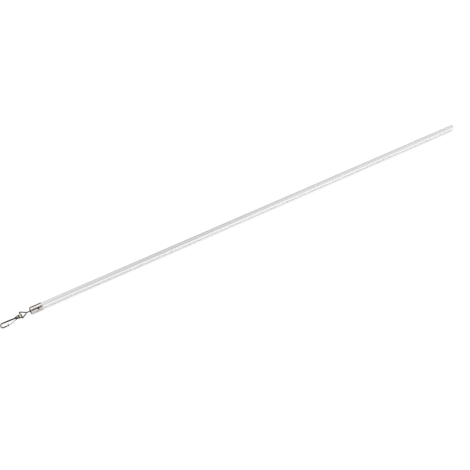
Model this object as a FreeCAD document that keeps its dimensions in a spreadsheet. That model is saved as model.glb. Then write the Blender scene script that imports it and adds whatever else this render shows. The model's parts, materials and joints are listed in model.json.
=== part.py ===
import FreeCAD, Part
import math
import os
import Sketcher

# Curtain wand: a clear hexagonal rod, a metal cup staked on its end, a swivelling wire eye and a snap hook.
# It lies along X on the plane Z = 0, with the fitting at -X and the rod's free end at +X.

# Driving sizes in millimetres and degrees: alias, value, meaning.
SIZES = [
    ("rod_side", 5.0, "side of the rod's hexagonal section"),
    ("rod_length", 750.0, "whole length of the rod"),
    ("rod_edge_round", 0.35, "radius of the rod's long edges"),
    ("rod_end_bevel", 0.4, "bevel round the rod's two ends"),
    ("rod_fit", 0.04, "radial room between the rod's corners and the cup"),
    ("ferrule_length", 17.0, "length of the cup outside"),
    ("ferrule_wall", 0.35, "wall of the cup"),
    ("ferrule_end_wall", 0.6, "thickness of the cup's closed end"),
    ("ferrule_end_round", 0.9, "outer rounding of the closed end"),
    ("rim_length", 1.3, "length of the rolled rim at the open end"),
    ("rim_rise", 0.18, "height of the rolled rim over the cup"),
    ("head_room", 3.0, "free length in the cup for the eye's head"),
    ("stake_back", 6.5, "middle of the stakes, from the open end"),
    ("stake_side", 5.2, "side of a stake's triangular mouth"),
    ("stake_tip_side", 1.8, "side of a stake's triangular floor"),
    ("stake_skin", 0.3, "metal left under a stake"),
    ("stake_wall", 0.2, "metal left round a stake's sides"),
    ("stake_gap", 0.03, "room between a stake and the rod's flat"),
    ("stake_count", 3.0, "stakes round the cup"),
    ("eye_wire", 1.6, "diameter of the eye's wire"),
    ("neck_fit", 0.08, "radial room of the neck in the cup's end"),
    ("neck_length", 5.2, "cup's end face to the loop's apex"),
    ("neck_bend", 1.2, "centreline bend where the neck turns into the loop"),
    ("loop_height", 9.5, "loop's apex to the middle of its far bar"),
    ("loop_base", 10.6, "far bar between its sharp corners"),
    ("loop_corner", 0.9, "centreline bend at the loop's corners"),
    ("loop_gap", 0.2, "room between the wire's free end and the loop's other side"),
    ("head_width", 4.2, "diameter of the upset head in the cup"),
    ("head_thick", 1.2, "thickness of the upset head"),
    ("head_play", 0.15, "room between the head and the end wall"),
    ("strap_sheet", 0.6, "sheet thickness of the strap"),
    ("bar_fit", 0.15, "radial room of the eye's bar in the strap's fold"),
    ("grip_fit", 0.05, "room of the hook's wire between the leaves, each side"),
    ("strap_width", 4.8, "width of the strap at its fold"),
    ("strap_mouth", 2.2, "width of the strap at its mouth"),
    ("strap_shoulder", 2.5, "bar to the place where the strap starts to narrow"),
    ("strap_reach", 8.6, "bar to the strap's mouth"),
    ("strap_corner", 0.6, "rounding of the leaves' corners at the mouth"),
    ("hook_wire", 2.05, "diameter of the hook's wire"),
    ("shank_offset", 0.4, "hook's wire where it leaves the strap, off the eye's axis"),
    ("back_bend_at", 10.2, "bar to the slight bend at the foot of the hook's back"),
    ("back_bend", 6.0, "centreline radius of that bend"),
    ("back_lean", 3.5, "angle that the hook's back leans away from its nose"),
    ("back_length", 20.4, "that bend to the middle of the bow's wire"),
    ("throat", 4.2, "clear width between the hook's back and its nose"),
    ("bow_flat", 0.2, "straight stretch at the middle of the bow"),
    ("nose_length", 11.2, "middle of the bow's wire to the nose's tip"),
    ("nose_taper_at", 3.6, "middle of the bow's wire to where the nose starts to taper"),
    ("nose_end", 0.9, "diameter of the nose at its tip"),
    ("root_width", 3.0, "diameter of the hook's flattened root"),
    ("root_neck", 2.4, "width of the flat between the root and the wire"),
    ("root_lap", 0.9, "length of the flat that runs into the wire"),
    ("rivet_back", 5.0, "bar to the rivet"),
    ("rivet_side", 0.8, "rivet and middle of the strap, off the eye's axis"),
    ("rivet_shank", 1.2, "diameter of the rivet"),
    ("rivet_head", 2.4, "diameter of the rivet's heads"),
    ("rivet_dome", 0.55, "height of the rivet's heads"),
    ("rivet_fit", 0.03, "radial room of the rivet in the strap and the root"),
    ("gate_wire", 0.7, "diameter of the gate's spring wire"),
    ("gate_fit", 0.05, "radial room of the gate's eye on the rivet"),
    ("layer_gap", 0.1, "room between the gate's eye and the hook's root"),
    ("gate_angle", 15.5, "slope of the gate's straight leg"),
    ("gate_bow", 8.0, "centreline radius of the gate's bowed end"),
    ("gate_curl", 0.9, "centreline radius of the curl that ends the gate"),
    ("gate_lap", 0.6, "middle of the curl, behind the nose's tip"),
    ("gate_seat", 0.06, "room between the gate and the nose that it closes on"),
    ("fitting_roll", 20.0, "roll of the eye and hook about the rod"),
    ("floor_gap", 0.05, "room under the bow where it comes down to the floor"),
]

# Sizes and places that follow from the driving ones: alias, formula.
LAYOUT = [
    ("rod_half_side", "Sizes.rod_side / 2"),
    ("rod_flat", "Sizes.rod_side * sqrt(3) / 2"),
    ("rod_inset", "Sizes.ferrule_end_wall + Sizes.head_room"),
    ("rod_corner", "Sizes.rod_side - Sizes.rod_edge_round * (2 / sqrt(3) - 1)"),
    ("ferrule_bore", "rod_corner + Sizes.rod_fit"),
    ("ferrule_radius", "ferrule_bore + Sizes.ferrule_wall"),
    ("rim_radius", "ferrule_radius + Sizes.rim_rise"),
    ("rim_start", "Sizes.ferrule_length - Sizes.rim_length"),
    ("rim_foot", "rim_start - Sizes.rim_rise"),
    ("axis_height", "rim_radius"),
    ("neck_hole", "Sizes.eye_wire / 2 + Sizes.neck_fit"),
    ("stake_middle", "Sizes.ferrule_length - Sizes.stake_back"),
    ("stake_mouth", "ferrule_radius + Sizes.rim_rise / 2"),
    ("stake_floor", "rod_flat + Sizes.stake_gap"),
    ("stake_pit", "stake_floor + Sizes.stake_skin"),
    ("stake_taper", "(Sizes.stake_side - Sizes.stake_tip_side) / (stake_mouth - stake_pit)"),
    ("boss_tip_side", "Sizes.stake_tip_side + 2 * sqrt(3) * Sizes.stake_wall"),
    ("boss_side", "boss_tip_side + (ferrule_bore - stake_pit) * stake_taper"),
    ("skin_top", "ferrule_radius + Sizes.stake_side / 2"),
    ("head_near", "-(Sizes.ferrule_end_wall + Sizes.head_play)"),
    ("head_far", "head_near - Sizes.head_thick"),
    ("bar_reach", "Sizes.neck_length + Sizes.loop_height"),
    ("loop_half", "Sizes.loop_base / 2"),
    ("loop_side", "sqrt(Sizes.loop_height ^ 2 + loop_half ^ 2)"),
    ("apex_cosine", "(Sizes.loop_height ^ 2 - loop_half ^ 2) / loop_side ^ 2"),
    ("apex_sine", "2 * Sizes.loop_height * loop_half / loop_side ^ 2"),
    ("loop_end_back", "(Sizes.eye_wire / 2 * (1 + apex_cosine) + Sizes.loop_gap) / apex_sine"),
    ("loop_end_x", "Sizes.neck_length + loop_end_back * Sizes.loop_height / loop_side"),
    ("loop_end_y", "loop_end_back * loop_half / loop_side"),
    ("leaf_gap", "max(Sizes.eye_wire + 2 * Sizes.bar_fit; Sizes.hook_wire + 2 * Sizes.grip_fit)"),
    ("fold_inner", "leaf_gap / 2"),
    ("fold_outer", "fold_inner + Sizes.strap_sheet"),
    ("strap_low", "Sizes.rivet_side - Sizes.strap_width / 2"),
    ("strap_high", "Sizes.rivet_side + Sizes.strap_width / 2"),
    ("mouth_low", "Sizes.shank_offset - Sizes.strap_mouth / 2"),
    ("mouth_high", "Sizes.shank_offset + Sizes.strap_mouth / 2"),
    ("trim_low", "strap_low - Sizes.strap_sheet"),
    ("trim_high", "strap_high + Sizes.strap_sheet"),
    ("trim_reach", "Sizes.strap_reach + Sizes.strap_sheet"),
    ("above_strap", "fold_outer + Sizes.strap_sheet"),
    ("lean_cosine", "cos(Sizes.back_lean)"),
    ("lean_sine", "sin(Sizes.back_lean)"),
    ("bow_width", "Sizes.throat + Sizes.hook_wire"),
    ("bow_back_u", "Sizes.back_bend_at + Sizes.back_length * lean_cosine"),
    ("bow_back_v", "Sizes.shank_offset - Sizes.back_length * lean_sine"),
    ("bow_nose_u", "bow_back_u + bow_width * lean_sine"),
    ("bow_nose_v", "bow_back_v + bow_width * lean_cosine"),
    ("bow_corner", "(bow_width - Sizes.bow_flat) / 2"),
    ("bow_centre_u", "bow_nose_u - bow_corner * (lean_cosine + lean_sine)"),
    ("bow_centre_v", "bow_nose_v - bow_corner * (lean_cosine - lean_sine)"),
    ("bow_end", "bow_centre_u + bow_corner"),
    ("nose_tip_u", "bow_nose_u - Sizes.nose_length * lean_cosine"),
    ("nose_tip_v", "bow_nose_v + Sizes.nose_length * lean_sine"),
    ("nose_foot_u", "bow_nose_u - Sizes.nose_taper_at * lean_cosine"),
    ("nose_foot_v", "bow_nose_v + Sizes.nose_taper_at * lean_sine"),
    ("nose_foot_side_u", "nose_foot_u + Sizes.hook_wire / 2 * lean_sine"),
    ("nose_foot_side_v", "nose_foot_v + Sizes.hook_wire / 2 * lean_cosine"),
    ("nose_tip_side_u", "nose_tip_u + Sizes.nose_end / 2 * lean_sine"),
    ("nose_tip_side_v", "nose_tip_v + Sizes.nose_end / 2 * lean_cosine"),
    ("nose_taper", "(Sizes.hook_wire - Sizes.nose_end) / 2 / (Sizes.nose_length - Sizes.nose_taper_at)"),
    ("gate_eye", "Sizes.rivet_shank / 2 + Sizes.gate_fit + Sizes.gate_wire / 2"),
    ("gate_eye_end", "Sizes.rivet_back + gate_eye"),
    ("gate_level", "Sizes.layer_gap / 2 + Sizes.gate_wire / 2 - fold_inner"),
    ("seat_radius", "Sizes.nose_end / 2 + 2 * Sizes.gate_lap * nose_taper"),
    ("seat_reach", "seat_radius + Sizes.gate_wire / 2 + Sizes.gate_seat"),
    ("curl_drop", "sqrt(seat_reach ^ 2 - gate_level ^ 2) + Sizes.gate_curl"),
    ("curl_u", "nose_tip_u + Sizes.gate_lap * lean_cosine - curl_drop * lean_sine"),
    ("curl_v", "nose_tip_v - Sizes.gate_lap * lean_sine - curl_drop * lean_cosine"),
    ("curl_end_v", "curl_v - Sizes.gate_wire / 2"),
    ("root_low", "gate_level + Sizes.gate_wire / 2 + Sizes.layer_gap"),
    ("root_thick", "fold_inner - Sizes.layer_gap / 2 - root_low"),
    ("shank_start", "gate_eye_end + Sizes.gate_wire / 2 + Sizes.layer_gap"),
    ("root_flat_end", "shank_start + Sizes.root_lap"),
    ("root_disc_low", "Sizes.rivet_side - Sizes.root_neck / 2"),
    ("root_disc_high", "Sizes.rivet_side + Sizes.root_neck / 2"),
    ("root_wire_low", "Sizes.shank_offset - Sizes.root_neck / 2"),
    ("root_wire_high", "Sizes.shank_offset + Sizes.root_neck / 2"),
    ("rivet_hole", "Sizes.rivet_shank / 2 + Sizes.rivet_fit"),
    ("rivet_top", "fold_outer + Sizes.rivet_dome"),
    ("rivet_head_radius", "Sizes.rivet_head / 2"),
    ("rivet_shank_radius", "Sizes.rivet_shank / 2"),
    ("roll_sine", "sin(Sizes.fitting_roll)"),
    ("drop", "axis_height - Sizes.hook_wire / 2 - Sizes.floor_gap - bow_centre_v * roll_sine"),
    ("bow_spread", "bow_centre_u ^ 2 - bow_corner ^ 2"),
    ("drop_spread", "drop ^ 2 - (bow_corner * roll_sine) ^ 2"),
    ("slope", "(bow_centre_u * drop - sqrt((bow_centre_u * drop) ^ 2 - bow_spread * drop_spread)) / bow_spread"),
    ("hook_dip", "asin(slope / cos(Sizes.fitting_roll))"),
    ("fitting_length", "bar_reach + bow_end * cos(hook_dip) + Sizes.hook_wire / 2"),
    ("whole_length", "fitting_length + rod_inset + Sizes.rod_length"),
    ("end_face_x", "fitting_length - whole_length / 2"),
    ("rod_x", "end_face_x + rod_inset"),
    ("bar_x", "end_face_x - bar_reach"),
]

ROD_PLACE = "placement(vector(Layout.rod_x; 0; Layout.axis_height); rotation(vector(1; 0; 0); 0))"
CUP_PLACE = "placement(vector(Layout.end_face_x; 0; Layout.axis_height); rotation(vector(1; 0; 0); 0))"
ROLLED = "rotation(vector(1; 0; 0); Sizes.fitting_roll) * rotation(vector(0; 0; 1); 180)"
EYE_PLACE = f"placement(vector(Layout.end_face_x; 0; Layout.axis_height); {ROLLED})"
DIPPED = f"{ROLLED} * rotation(vector(0; 1; 0); Layout.hook_dip)"
HOOK_PLACE = f"placement(vector(Layout.bar_x; 0; Layout.axis_height); {DIPPED})"
RIVET_PLACE = f"{HOOK_PLACE} * placement(vector(Sizes.rivet_back; Sizes.rivet_side; 0); rotation(vector(1; 0; 0); 0))"

doc = FreeCAD.newDocument("curtain_wand")
sizes = doc.addObject("Spreadsheet::Sheet", "Sizes")
layout = doc.addObject("Spreadsheet::Sheet", "Layout")


def fill_sheets():
    """Writes the driving sizes and the formulas that follow from them."""
    for row, (alias, value, meaning) in enumerate(SIZES, start=1):
        sizes.set(f"A{row}", meaning)
        sizes.set(f"B{row}", str(value))
        sizes.setAlias(f"B{row}", alias)
    for row, (alias, formula) in enumerate(LAYOUT, start=1):
        layout.set(f"A{row}", f"={formula}")
        layout.setAlias(f"A{row}", alias)
    doc.recompute()


def value(cell):
    """The number in a cell, named as Sizes.alias or Layout.alias with an optional minus, or 0."""
    if cell == "0":
        return 0.0
    sheet_name, alias = cell.lstrip("-").split(".")
    number = float(doc.getObject(sheet_name).get(alias))
    return -number if cell.startswith("-") else number


def new_body(label, place):
    body = doc.addObject("PartDesign::Body", label)
    body.Label = label
    body.setExpression("Placement", place)
    return body


def origin_feature(body, role):
    return next(f for f in body.Origin.OriginFeatures if f.Role == role)


def new_sketch(body, name, role, offset="0"):
    """A sketch on one of the body's own planes, moved along the plane's normal by a cell."""
    sketch = body.newObject("Sketcher::SketchObject", f"{body.Label}_{name}")
    sketch.AttachmentSupport = [(origin_feature(body, role), "")]
    sketch.MapMode = "FlatFace"
    if offset != "0":
        sketch.setExpression("AttachmentOffset.Base.z", offset)
    return sketch


def bind(sketch, kind, *arguments, cell):
    """Adds a dimension and ties it to a cell."""
    number = value(cell)
    if kind == "Angle":
        number = math.radians(number)
    index = sketch.addConstraint(Sketcher.Constraint(kind, *arguments, number))
    sketch.setExpression(f"Constraints[{index}]", cell)


def pin_point(sketch, geometry, end, place):
    """Ties a point's two coordinates to cells, or to the sketch's axes where they are 0."""
    for kind, axis, cell in (("DistanceX", -2, place[0]), ("DistanceY", -1, place[1])):
        if cell == "0":
            sketch.addConstraint(Sketcher.Constraint("PointOnObject", geometry, end, axis))
        else:
            bind(sketch, kind, -1, 1, geometry, end, cell=cell)


def point(place):
    return FreeCAD.Vector(value(place[0]), value(place[1]), 0)


def add_line(sketch, start, end, construction=False):
    return sketch.addGeometry(Part.LineSegment(start, end), construction)


def draw_outline(sketch, places):
    """A closed outline of straight lines through the given places."""
    corners = [point(place) for place in places]
    count = len(corners)
    lines = [add_line(sketch, corners[i], corners[(i + 1) % count]) for i in range(count)]
    for i in range(count):
        sketch.addConstraint(Sketcher.Constraint("Coincident", lines[i], 2, lines[(i + 1) % count], 1))
    for line, place in zip(lines, places):
        pin_point(sketch, line, 1, place)


def draw_circle(sketch, centre, diameter):
    circle = sketch.addGeometry(Part.Circle(point(centre), FreeCAD.Vector(0, 0, 1), value(diameter) / 2), False)
    if centre == ("0", "0"):
        sketch.addConstraint(Sketcher.Constraint("Coincident", circle, 3, -1, 1))
    else:
        pin_point(sketch, circle, 3, centre)
    bind(sketch, "Diameter", circle, cell=diameter)


def corner_arc(before, corner, after, radius):
    """The arc that rounds a corner, and the points where it leaves the two straight runs."""
    back = (before - corner).normalize()
    on = (after - corner).normalize()
    half = back.getAngle(on) / 2
    start = corner + back * (radius / math.tan(half))
    end = corner + on * (radius / math.tan(half))
    bisector = (back + on).normalize()
    middle = corner + bisector * (radius / math.sin(half) - radius)
    return start, middle, end


def draw_bent_wire(sketch, places, bends):
    """An open path of straight runs through the places, each inner corner rounded by its own bend."""
    corners = [point(place) for place in places]
    guides = [add_line(sketch, corners[i], corners[i + 1], True) for i in range(len(corners) - 1)]
    for i, guide in enumerate(guides):
        pin_point(sketch, guide, 1, places[i])
        if i:
            sketch.addConstraint(Sketcher.Constraint("Coincident", guides[i - 1], 2, guide, 1))
    pin_point(sketch, guides[-1], 2, places[-1])
    arcs = [
        corner_arc(corners[i], corners[i + 1], corners[i + 2], value(bend))
        for i, bend in enumerate(bends)
    ]
    starts = [corners[0]] + [arc[2] for arc in arcs]
    ends = [arc[0] for arc in arcs] + [corners[-1]]
    last_run = None
    for i, guide in enumerate(guides):
        run = add_line(sketch, starts[i], ends[i])
        if i == 0:
            sketch.addConstraint(Sketcher.Constraint("Coincident", run, 1, guide, 1))
        else:
            sketch.addConstraint(Sketcher.Constraint("PointOnObject", run, 1, guide))
            join_runs(sketch, last_run, run, arcs[i - 1], bends[i - 1])
        if guide == guides[-1]:
            sketch.addConstraint(Sketcher.Constraint("Coincident", run, 2, guide, 2))
        else:
            sketch.addConstraint(Sketcher.Constraint("PointOnObject", run, 2, guide))
        last_run = run


def join_runs(sketch, run, next_run, arc_points, bend):
    """Puts a tangent arc between two runs."""
    arc = sketch.addGeometry(Part.Arc(*arc_points), False)
    starts_here = sketch.getPoint(arc, 1).distanceToPoint(arc_points[0]) < value(bend) / 100
    near, far = (1, 2) if starts_here else (2, 1)
    sketch.addConstraint(Sketcher.Constraint("Tangent", run, 2, arc, near))
    sketch.addConstraint(Sketcher.Constraint("Tangent", next_run, 1, arc, far))
    bind(sketch, "Radius", arc, cell=bend)


def add_pad(body, name, sketch, length):
    pad = body.newObject("PartDesign::Pad", f"{body.Label}_{name}")
    pad.Profile = sketch
    pad.setExpression("Length", length)
    return pad


def add_through_cut(body, name, sketch):
    """A cut from the sketch down through everything under it."""
    before = body.Shape.Volume
    cut = body.newObject("PartDesign::Pocket", f"{body.Label}_{name}")
    cut.Profile = sketch
    cut.Type = "ThroughAll"
    doc.recompute()
    if body.Shape.Volume >= before:
        raise RuntimeError(f"{body.Label}: {name} cuts nothing")
    return cut


def add_pipe(body, name, profile, path):
    pipe = body.newObject("PartDesign::AdditivePipe", f"{body.Label}_{name}")
    pipe.Profile = profile
    pipe.Spine = (path, [])
    doc.recompute()
    return pipe


def dress(body, kind, name, base, edges, size):
    """A fillet or chamfer on the named edges or faces."""
    if not edges:
        raise RuntimeError(f"{body.Label}: no edge found for {name}")
    feature = body.newObject(f"PartDesign::{kind}", f"{body.Label}_{name}")
    feature.Base = (base, edges)
    feature.setExpression("Radius" if kind == "Fillet" else "Size", size)
    doc.recompute()
    return feature


def edges_where(feature, test):
    return [f"Edge{i}" for i, edge in enumerate(feature.Shape.Edges, start=1) if test(edge)]


def is_round_edge(edge, centre_x, radius):
    """A full circle about the X axis at the given place."""
    near = 1e-4
    return (
        isinstance(edge.Curve, Part.Circle)
        and abs(edge.Curve.Center.x - centre_x) < near
        and abs(edge.Curve.Radius - radius) < near
    )


def is_end_edge(edge, centre):
    """A circle about the given point."""
    return isinstance(edge.Curve, Part.Circle) and edge.Curve.Center.distanceToPoint(centre) < 1e-3


def make_rod():
    body = new_body("rod", ROD_PLACE)
    section = new_sketch(body, "section", "YZ_Plane")
    draw_outline(
        section,
        [
            ("Sizes.rod_side", "0"),
            ("Layout.rod_half_side", "Layout.rod_flat"),
            ("-Layout.rod_half_side", "Layout.rod_flat"),
            ("-Sizes.rod_side", "0"),
            ("-Layout.rod_half_side", "-Layout.rod_flat"),
            ("Layout.rod_half_side", "-Layout.rod_flat"),
        ],
    )
    bar = add_pad(body, "bar", section, "Sizes.rod_length")
    doc.recompute()
    half_length = value("Sizes.rod_length") / 2
    ends = edges_where(bar, lambda edge: edge.Length < half_length)
    bevelled = dress(body, "Chamfer", "end_bevels", bar, ends, "Sizes.rod_end_bevel")
    along = edges_where(bevelled, lambda edge: edge.Length > half_length)
    dress(body, "Fillet", "long_edges", bevelled, along, "Sizes.rod_edge_round")
    return body


def stake_sketch(body, name, radius, side):
    """A triangle over one of the rod's flats, one side along the cup and its point downward."""
    sketch = new_sketch(body, name, "XY_Plane")
    tilt = 60
    sketch.setExpression("AttachmentOffset.Rotation.Axis.x", "1")
    sketch.setExpression("AttachmentOffset.Rotation.Axis.y", "0")
    sketch.setExpression("AttachmentOffset.Rotation.Axis.z", "0")
    sketch.setExpression("AttachmentOffset.Rotation.Angle", f"{tilt}")
    sketch.setExpression("AttachmentOffset.Base.x", "Layout.stake_middle")
    sketch.setExpression("AttachmentOffset.Base.y", f"-{radius} * sin({tilt})")
    sketch.setExpression("AttachmentOffset.Base.z", f"{radius} * cos({tilt})")
    reach = value(side) / math.sqrt(3)
    corners = [
        FreeCAD.Vector(reach * math.cos(turn), reach * math.sin(turn), 0)
        for turn in (-math.pi / 2, math.pi / 6, 5 * math.pi / 6)
    ]
    lines = [add_line(sketch, corners[i], corners[(i + 1) % 3]) for i in range(3)]
    ring = sketch.addGeometry(Part.Circle(FreeCAD.Vector(), FreeCAD.Vector(0, 0, 1), reach), True)
    sketch.addConstraint(Sketcher.Constraint("Coincident", ring, 3, -1, 1))
    for i in range(3):
        sketch.addConstraint(Sketcher.Constraint("Coincident", lines[i], 2, lines[(i + 1) % 3], 1))
        sketch.addConstraint(Sketcher.Constraint("PointOnObject", lines[i], 1, ring))
    sketch.addConstraint(Sketcher.Constraint("Equal", lines[0], lines[1]))
    sketch.addConstraint(Sketcher.Constraint("PointOnObject", lines[0], 1, -2))
    sketch.addConstraint(Sketcher.Constraint("Horizontal", lines[1]))
    bind(sketch, "Distance", lines[1], cell=side)
    return sketch


def add_stakes(body, kind, name, mouth, floor):
    """Tapered triangular stakes, made once and repeated round the cup."""
    loft = body.newObject(f"PartDesign::{kind}", f"{body.Label}_{name}")
    loft.Profile = mouth
    loft.Sections = [floor]
    doc.recompute()
    ring = body.newObject("PartDesign::PolarPattern", f"{body.Label}_{name}_ring")
    ring.Originals = [loft]
    ring.Axis = (origin_feature(body, "X_Axis"), [""])
    ring.Angle = 360
    ring.setExpression("Occurrences", "Sizes.stake_count")
    body.Tip = ring
    doc.recompute()
    return ring


def make_ferrule():
    body = new_body("ferrule", CUP_PLACE)
    wall = new_sketch(body, "wall", "XY_Plane")
    draw_outline(
        wall,
        [
            ("0", "Layout.neck_hole"),
            ("0", "Layout.ferrule_radius"),
            ("Layout.rim_foot", "Layout.ferrule_radius"),
            ("Layout.rim_start", "Layout.rim_radius"),
            ("Sizes.ferrule_length", "Layout.rim_radius"),
            ("Sizes.ferrule_length", "Layout.ferrule_bore"),
            ("Sizes.ferrule_end_wall", "Layout.ferrule_bore"),
            ("Sizes.ferrule_end_wall", "Layout.neck_hole"),
        ],
    )
    cup = body.newObject("PartDesign::Revolution", "ferrule_cup")
    cup.Profile = wall
    cup.ReferenceAxis = (origin_feature(body, "X_Axis"), [""])
    cup.Angle = 360
    doc.recompute()
    outer = value("Layout.ferrule_radius")
    shoulder = edges_where(cup, lambda edge: is_round_edge(edge, 0, outer))
    dress(body, "Fillet", "end_corner", cup, shoulder, "Sizes.ferrule_end_round")
    boss_mouth = stake_sketch(body, "boss_mouth", "Layout.ferrule_bore", "Layout.boss_side")
    boss_floor = stake_sketch(body, "boss_floor", "Layout.stake_floor", "Layout.boss_tip_side")
    add_stakes(body, "AdditiveLoft", "bosses", boss_mouth, boss_floor)
    skin = new_sketch(body, "skin", "XY_Plane")
    draw_outline(
        skin,
        [
            ("Sizes.ferrule_end_round", "Layout.ferrule_radius"),
            ("Layout.rim_foot", "Layout.ferrule_radius"),
            ("Layout.rim_foot", "Layout.skin_top"),
            ("Sizes.ferrule_end_round", "Layout.skin_top"),
        ],
    )
    trimmed = body.newObject("PartDesign::Groove", "ferrule_trimmed")
    trimmed.Profile = skin
    trimmed.ReferenceAxis = (origin_feature(body, "X_Axis"), [""])
    trimmed.Angle = 360
    doc.recompute()
    pit_mouth = stake_sketch(body, "pit_mouth", "Layout.stake_mouth", "Sizes.stake_side")
    pit_floor = stake_sketch(body, "pit_floor", "Layout.stake_pit", "Sizes.stake_tip_side")
    before = body.Shape.Volume
    add_stakes(body, "SubtractiveLoft", "pits", pit_mouth, pit_floor)
    if body.Shape.Volume >= before:
        raise RuntimeError("ferrule: the stakes' pits cut nothing")
    return body


def make_swivel_eye():
    body = new_body("swivel_eye", EYE_PLACE)
    head = new_sketch(body, "head_disc", "YZ_Plane", "Layout.head_far")
    draw_circle(head, ("0", "0"), "Sizes.head_width")
    add_pad(body, "head", head, "Sizes.head_thick")
    section = new_sketch(body, "section", "YZ_Plane", "Layout.head_near")
    draw_circle(section, ("0", "0"), "Sizes.eye_wire")
    path = new_sketch(body, "path", "XY_Plane")
    draw_bent_wire(
        path,
        [
            ("Layout.head_near", "0"),
            ("Sizes.neck_length", "0"),
            ("Layout.bar_reach", "-Layout.loop_half"),
            ("Layout.bar_reach", "Layout.loop_half"),
            ("Layout.loop_end_x", "Layout.loop_end_y"),
        ],
        ["Sizes.neck_bend", "Sizes.loop_corner", "Sizes.loop_corner"],
    )
    add_pipe(body, "wire", section, path)
    return body


def make_hook_strap():
    body = new_body("hook_strap", HOOK_PLACE)
    fold = new_sketch(body, "fold", "XZ_Plane", "-Layout.strap_high")
    draw_hairpin(fold)
    add_pad(body, "sheet", fold, "Sizes.strap_width")
    doc.recompute()
    for side, edge, mouth, beyond in (
        ("low", "Layout.strap_low", "Layout.mouth_low", "Layout.trim_low"),
        ("high", "Layout.strap_high", "Layout.mouth_high", "Layout.trim_high"),
    ):
        trim = new_sketch(body, f"trim_{side}", "XY_Plane", "Layout.above_strap")
        draw_outline(
            trim,
            [
                ("Sizes.strap_shoulder", edge),
                ("Sizes.strap_reach", mouth),
                ("Layout.trim_reach", mouth),
                ("Layout.trim_reach", beyond),
                ("Sizes.strap_shoulder", beyond),
            ],
        )
        add_through_cut(body, f"taper_{side}", trim)
    hole = new_sketch(body, "rivet_place", "XY_Plane", "Layout.above_strap")
    draw_rivet_hole(hole)
    bored = add_through_cut(body, "rivet_hole", hole)
    reach = value("Sizes.strap_reach")
    sheet = value("Sizes.strap_sheet")
    corners = edges_where(
        bored,
        lambda edge: abs(edge.CenterOfMass.x - reach) < 1e-4 and abs(edge.BoundBox.ZLength - sheet) < 1e-4,
    )
    dress(body, "Fillet", "leaf_corners", bored, corners, "Sizes.strap_corner")
    return body


def draw_hairpin(sketch):
    """The strap's folded section: two flat leaves joined by a half round fold about the bar."""
    reach = ("Sizes.strap_reach", "Sizes.strap_reach")
    sides = []
    for radius, mouth_sign in (("Layout.fold_outer", 1), ("Layout.fold_inner", -1)):
        r = value(radius)
        top = add_line(sketch, FreeCAD.Vector(value(reach[0]), r, 0), FreeCAD.Vector(0, r, 0))
        circle = Part.Circle(FreeCAD.Vector(), FreeCAD.Vector(0, 0, 1), r)
        fold = sketch.addGeometry(Part.ArcOfCircle(circle, math.pi / 2, 3 * math.pi / 2), False)
        bottom = add_line(sketch, FreeCAD.Vector(0, -r, 0), FreeCAD.Vector(value(reach[0]), -r, 0))
        sketch.addConstraint(Sketcher.Constraint("Coincident", fold, 3, -1, 1))
        sketch.addConstraint(Sketcher.Constraint("Tangent", top, 2, fold, 1))
        sketch.addConstraint(Sketcher.Constraint("Tangent", bottom, 1, fold, 2))
        sketch.addConstraint(Sketcher.Constraint("Horizontal", top))
        sketch.addConstraint(Sketcher.Constraint("Horizontal", bottom))
        bind(sketch, "Radius", fold, cell=radius)
        bind(sketch, "DistanceX", -1, 1, top, 1, cell=reach[0])
        bind(sketch, "DistanceX", -1, 1, bottom, 2, cell=reach[1])
        sides.append((top, bottom))
    (outer_top, outer_bottom), (inner_top, inner_bottom) = sides
    for outer, inner, end in ((outer_top, inner_top, 1), (outer_bottom, inner_bottom, 2)):
        lip = add_line(sketch, sketch.getPoint(outer, end), sketch.getPoint(inner, end))
        sketch.addConstraint(Sketcher.Constraint("Coincident", lip, 1, outer, end))
        sketch.addConstraint(Sketcher.Constraint("Coincident", lip, 2, inner, end))


def draw_rivet_hole(sketch):
    place = ("Sizes.rivet_back", "Sizes.rivet_side")
    hole = sketch.addGeometry(Part.Circle(point(place), FreeCAD.Vector(0, 0, 1), value("Layout.rivet_hole")), False)
    pin_point(sketch, hole, 3, place)
    bind(sketch, "Radius", hole, cell="Layout.rivet_hole")


def make_hook_wire():
    body = new_body("hook_wire", HOOK_PLACE)
    section = new_sketch(body, "section", "YZ_Plane", "Layout.shank_start")
    draw_circle(section, ("Sizes.shank_offset", "0"), "Sizes.hook_wire")
    path = new_sketch(body, "path", "XY_Plane")
    draw_bent_wire(
        path,
        [
            ("Layout.shank_start", "Sizes.shank_offset"),
            ("Sizes.back_bend_at", "Sizes.shank_offset"),
            ("Layout.bow_back_u", "Layout.bow_back_v"),
            ("Layout.bow_nose_u", "Layout.bow_nose_v"),
            ("Layout.nose_foot_u", "Layout.nose_foot_v"),
        ],
        ["Sizes.back_bend", "Layout.bow_corner", "Layout.bow_corner"],
    )
    add_pipe(body, "wire", section, path)
    add_nose(body)
    flat = new_sketch(body, "root_flat", "XY_Plane", "Layout.root_low")
    draw_outline(
        flat,
        [
            ("Sizes.rivet_back", "Layout.root_disc_low"),
            ("Layout.root_flat_end", "Layout.root_wire_low"),
            ("Layout.root_flat_end", "Layout.root_wire_high"),
            ("Sizes.rivet_back", "Layout.root_disc_high"),
        ],
    )
    add_pad(body, "root_neck", flat, "Layout.root_thick")
    disc = new_sketch(body, "root_disc", "XY_Plane", "Layout.root_low")
    draw_circle(disc, ("Sizes.rivet_back", "Sizes.rivet_side"), "Sizes.root_width")
    add_pad(body, "root", disc, "Layout.root_thick")
    doc.recompute()
    hole = new_sketch(body, "rivet_place", "XY_Plane", "Layout.above_strap")
    draw_rivet_hole(hole)
    bored = add_through_cut(body, "rivet_hole", hole)
    tip = FreeCAD.Vector(value("Layout.nose_tip_u"), value("Layout.nose_tip_v"), 0)
    tip_edge = edges_where(bored, lambda edge: is_end_edge(edge, tip))
    dress(body, "Fillet", "nose_end", bored, tip_edge, "Sizes.nose_end * 0.4")
    return body


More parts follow.
